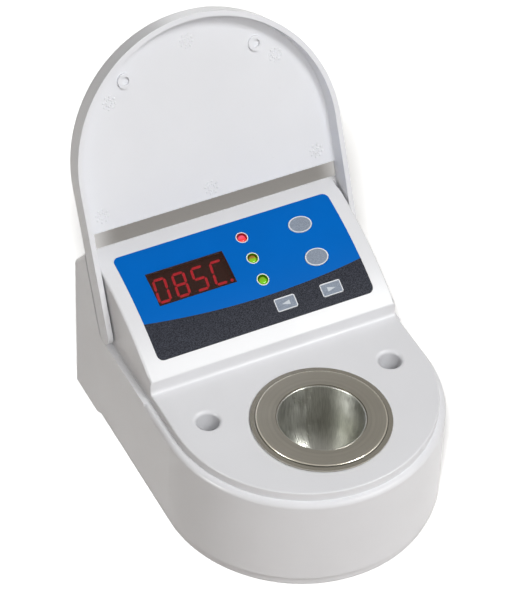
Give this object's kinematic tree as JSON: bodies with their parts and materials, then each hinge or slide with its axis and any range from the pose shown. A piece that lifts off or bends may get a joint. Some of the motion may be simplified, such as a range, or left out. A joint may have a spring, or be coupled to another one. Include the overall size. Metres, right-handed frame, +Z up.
{
  "type": "dental lab wax heater",
  "caption": "Bench wax heater with a heated metal bowl in a round-fronted case, two tool rests, a sloped panel with readout and keys, and a hinged lid.",
  "frame": {"origin": "on the underside of the bottom cover, where the upright axis of the round front meets it", "axes": "+X to the user's right, +Y to the rear, +Z up"},
  "size_m": [0.11, 0.1644, 0.1555],
  "materials": {
    "housing": "satin white",
    "cover": "satin white",
    "lid": "satin white",
    "feet": "matt",
    "screws": "zinc plated",
    "pins": "ground",
    "overlay": "printed film, blue over dark grey",
    "window": "dark red tint",
    "module": "matt black",
    "segments": "lit red",
    "red_lens": "diffused, lit",
    "amber_lens": "diffused",
    "green_lens": "diffused, lit",
    "rings": "white",
    "keys": "grey",
    "switches": "black",
    "boards": "green solder mask",
    "chips": "black",
    "connectors": "cream",
    "pot": "turned and polished",
    "trim_ring": "satin",
    "gasket": "matt",
    "plates": "zinc plated",
    "band": "stainless",
    "insulation": "woven ceramic fibre",
    "shield": "plain",
    "sensor": "plain",
    "fuse": "plain",
    "capacitor": "sleeved",
    "terminals": "green",
    "heatsink": "black anodised",
    "socket": "black",
    "nut": "nickel plated",
    "rocker_frame": "black",
    "rocker": "black",
    "heater_wires": "glass braid",
    "sensor_wires": "white",
    "power_wires": "red",
    "signal_wires": "grey"
  },
  "bodies": {
    "case": {"main_housing": "housing", "bottom_cover": "cover", "rubber_feet": "feet", "case_screws": "screws", "panel_overlay": "overlay", "display_filter": "window", "display_module": "module", "lit_segments": "segments", "heat_led": "red_lens", "unit_led": "amber_lens", "set_led": "green_lens", "led_rings": "rings", "tact_switches": "switches", "control_board": "boards", "power_board": "boards", "control_board_screws": "screws", "power_board_screws": "screws", "control_chip": "chips", "board_connector": "connectors", "wax_pot": "pot", "pot_trim_ring": "trim_ring", "pot_gasket": "gasket", "pot_clamp_plate": "plates", "clamp_nuts": "screws", "heater_band": "band", "band_screw": "screws", "insulation_sleeve": "insulation", "heat_shield": "shield", "temperature_sensor": "sensor", "thermal_fuse": "fuse", "sensor_clip": "plates", "board_capacitor": "capacitor", "terminal_block": "terminals", "mosfet_heatsink": "heatsink", "dc_jack": "socket", "jack_nut": "nut", "switch_body": "rocker_frame", "heater_leads": "heater_wires", "sensor_leads": "sensor_wires", "power_leads": "power_wires", "signal_leads": "signal_wires"},
    "lid": {"lid": "lid", "hinge_pins": "pins", "hinge_clips": "pins"},
    "upper_oval_key": {"upper_oval_key": "keys"},
    "lower_oval_key": {"lower_oval_key": "keys"},
    "left_arrow_key": {"left_arrow_key": "keys"},
    "right_arrow_key": {"right_arrow_key": "keys"},
    "rocker": {"switch_rocker": "rocker"}
  },
  "joints": [
    {"name": "lid_hinge", "type": "hinge", "parent": "case", "child": "lid", "pos_m": [0, 0.0592, 0.04847], "axis": [1, 0, 0], "range_deg": [0, 114]},
    {"name": "upper_oval_key_press", "type": "slide", "parent": "case", "child": "upper_oval_key", "axis": [0, 0.3591, -0.9333], "range_m": [0, 0.0004], "stiffness_N_per_m": 400, "springref_m": -0.0005},
    {"name": "lower_oval_key_press", "type": "slide", "parent": "case", "child": "lower_oval_key", "axis": [0, 0.3591, -0.9333], "range_m": [0, 0.0004], "stiffness_N_per_m": 400, "springref_m": -0.0005},
    {"name": "left_arrow_key_press", "type": "slide", "parent": "case", "child": "left_arrow_key", "axis": [0, 0.3591, -0.9333], "range_m": [0, 0.0004], "stiffness_N_per_m": 400, "springref_m": -0.0005},
    {"name": "right_arrow_key_press", "type": "slide", "parent": "case", "child": "right_arrow_key", "axis": [0, 0.3591, -0.9333], "range_m": [0, 0.0004], "stiffness_N_per_m": 400, "springref_m": -0.0005},
    {"name": "rocker_tilt", "type": "hinge", "parent": "case", "child": "rocker", "pos_m": [-0.024, 0.087, 0.024], "axis": [1, 0, 0], "range_deg": [-18, 0]}
  ]
}
